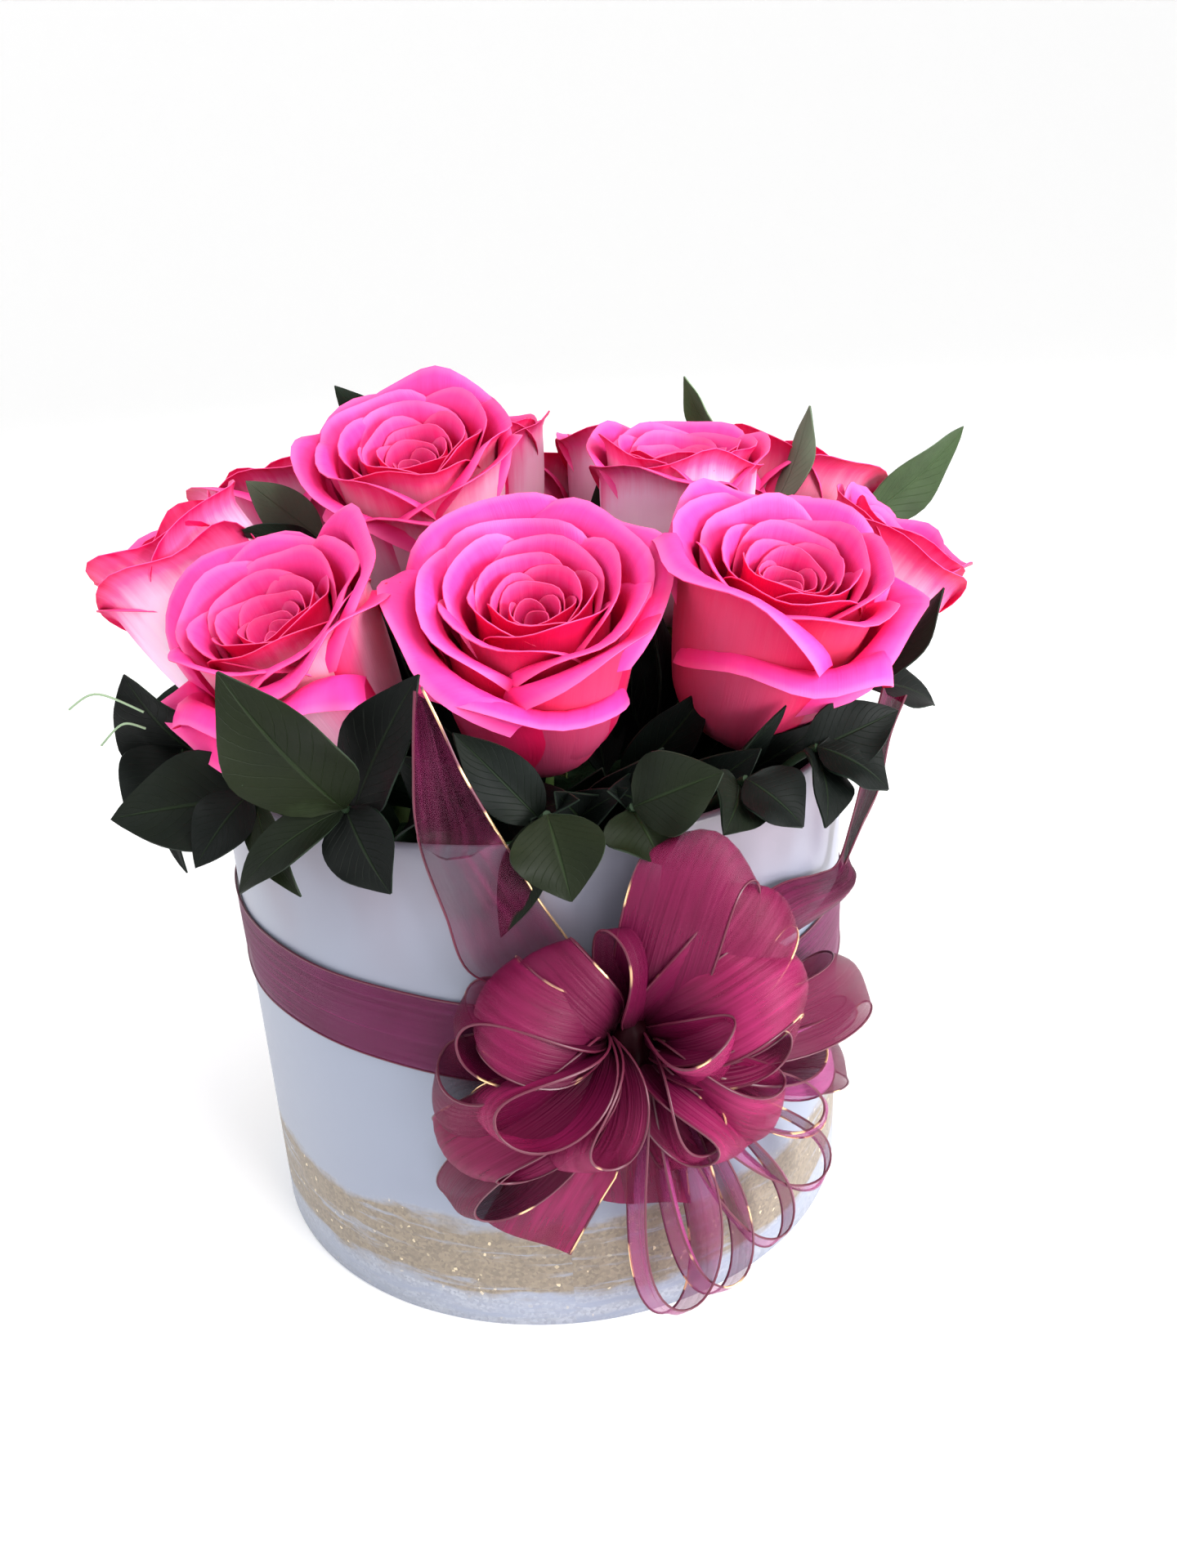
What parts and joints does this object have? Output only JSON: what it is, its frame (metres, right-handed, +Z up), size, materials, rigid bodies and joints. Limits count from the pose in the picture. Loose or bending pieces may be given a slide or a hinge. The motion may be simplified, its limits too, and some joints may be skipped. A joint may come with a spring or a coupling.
{
  "type": "rose box",
  "caption": "Round white hat box of magenta roses with dark leafy sprays, tied with a plum organza ribbon and bow.",
  "frame": {"origin": "centre of the box's underside", "axes": "+Z up along the box's axis, -Y towards the front, where the bow is, +X to the right seen from the front"},
  "size_m": [0.2732, 0.2435, 0.2403],
  "materials": {
    "board": "satin",
    "card": "matte",
    "film": "gloss",
    "foam": "matte",
    "petals": "matte",
    "stems": "matte",
    "leaves": "satin",
    "organza": "satin"
  },
  "bodies": {
    "root": {"bloom_back": "petals", "bloom_back_bud": "petals", "bloom_back_centre": "petals", "bloom_back_left": "petals", "bloom_back_right": "petals", "bloom_far_left": "petals", "bloom_far_right": "petals", "bloom_front_centre": "petals", "bloom_front_left": "petals", "bloom_front_right": "petals", "bloom_middle_left": "petals", "bloom_middle_right": "petals", "bow": "organza", "box_base": "card", "box_wall": "board", "foam": "foam", "liner": "film", "ribbon_band": "organza", "ribbon_strap_left": "organza", "ribbon_strap_right": "organza", "spray_back_1": "leaves", "spray_back_2": "leaves", "spray_back_3": "leaves", "spray_back_4": "leaves", "spray_between": "leaves", "spray_far_left": "leaves", "spray_far_right": "leaves", "spray_front": "leaves", "spray_front_left": "leaves", "spray_front_right": "leaves", "spray_left": "leaves", "spray_right": "leaves", "spray_right_side": "leaves", "spray_tall_back_left": "leaves", "spray_tall_back_right": "leaves", "spray_tall_left": "leaves", "spray_tall_pale": "leaves", "spray_tall_right": "leaves", "stem_back": "stems", "stem_back_bud": "stems", "stem_back_centre": "stems", "stem_back_left": "stems", "stem_back_right": "stems", "stem_far_left": "stems", "stem_far_right": "stems", "stem_front_centre": "stems", "stem_front_left": "stems", "stem_front_right": "stems", "stem_middle_left": "stems", "stem_middle_right": "stems"}
  },
  "joints": []
}
